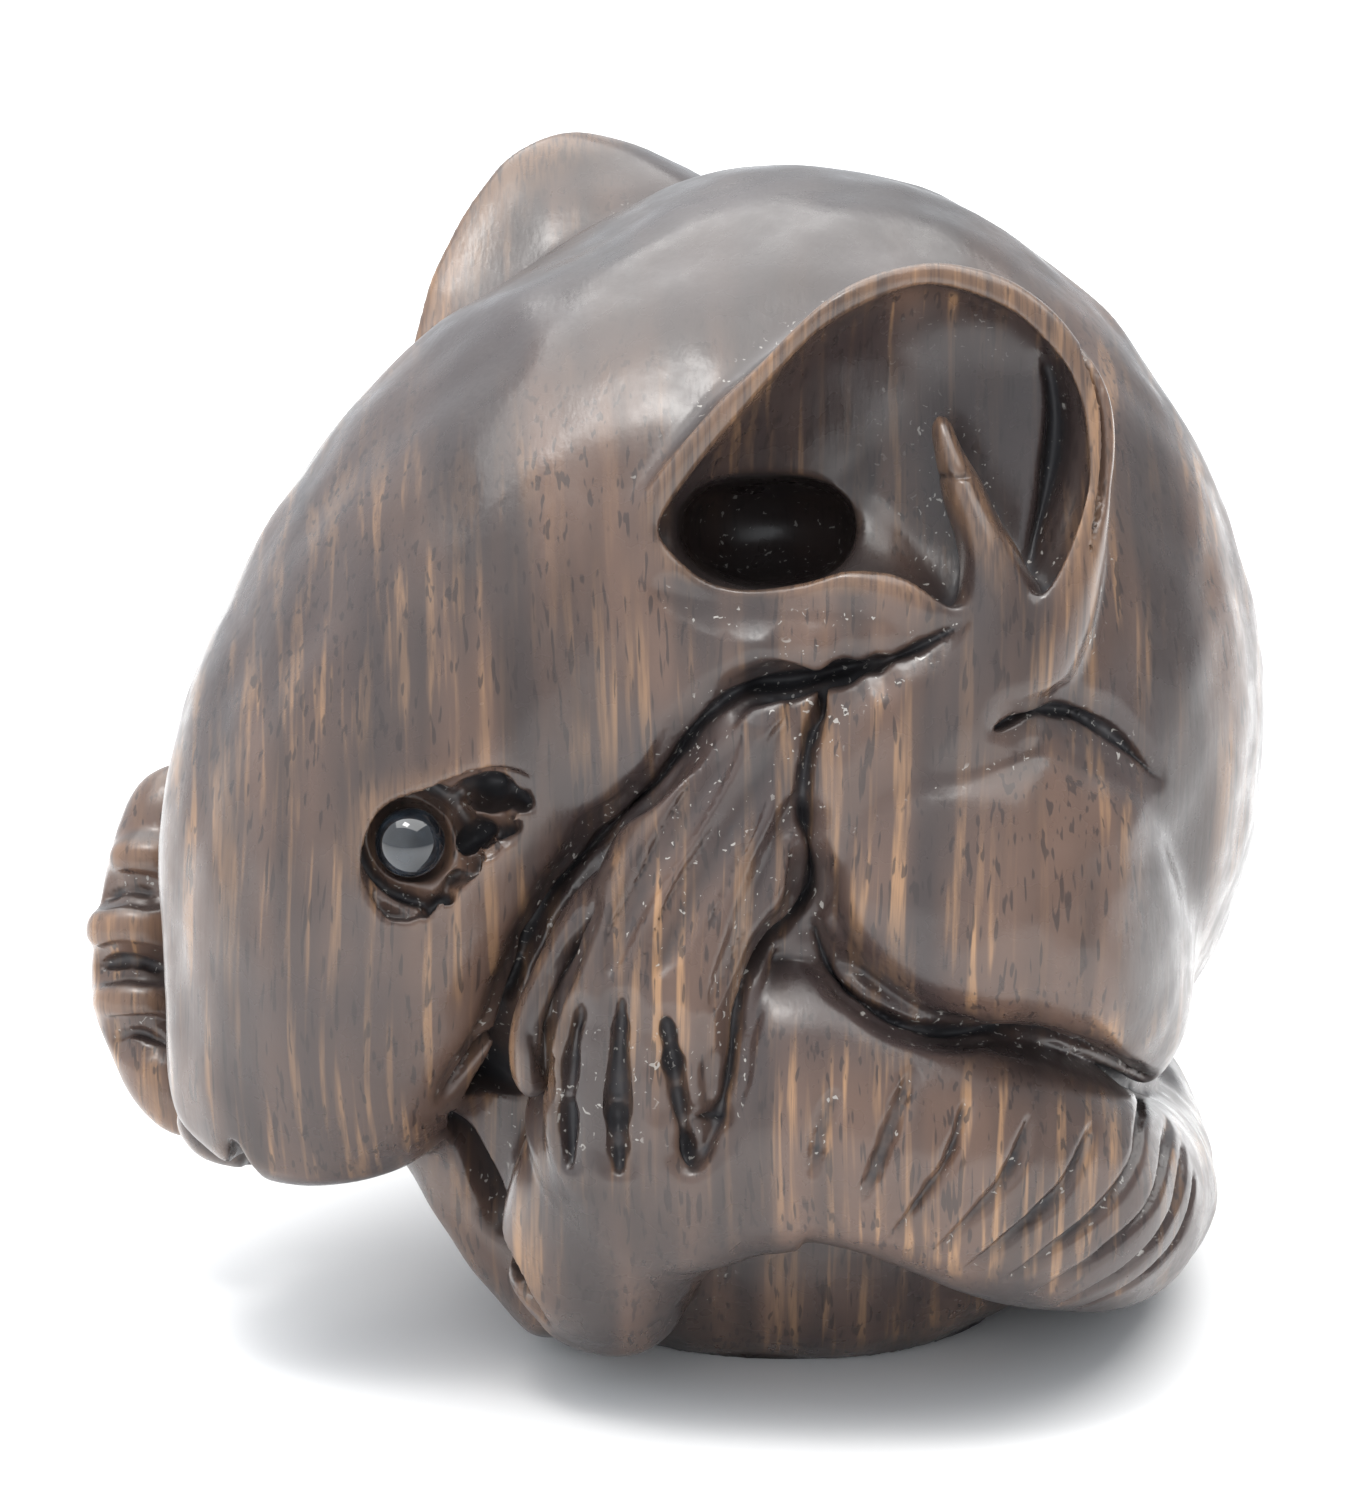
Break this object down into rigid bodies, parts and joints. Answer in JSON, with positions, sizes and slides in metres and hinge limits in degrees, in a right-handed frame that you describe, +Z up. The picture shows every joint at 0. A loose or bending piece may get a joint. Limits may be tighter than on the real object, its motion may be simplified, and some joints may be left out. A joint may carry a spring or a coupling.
{
  "type": "netsuke",
  "caption": "Small carved wooden toggle in the shape of a curled mouse with a cupped ear, folded paws, a thick coiled tail and inlaid dark eyes.",
  "frame": {"origin": "middle of the flat spot under the base that the carving rests on", "axes": "+Z up, -Y toward the near cheek and paw, +X toward the right end of the tail"},
  "size_m": [0.0413, 0.0372, 0.0395],
  "materials": {
    "wood": "dark close-grained hardwood with tan streaks, hand-polished to a semi-gloss, old dirt in the cuts",
    "bead": "black polished inlay, glass-like"
  },
  "bodies": {
    "root": {"carving": "wood", "left_eye": "bead", "right_eye": "bead"}
  },
  "joints": []
}
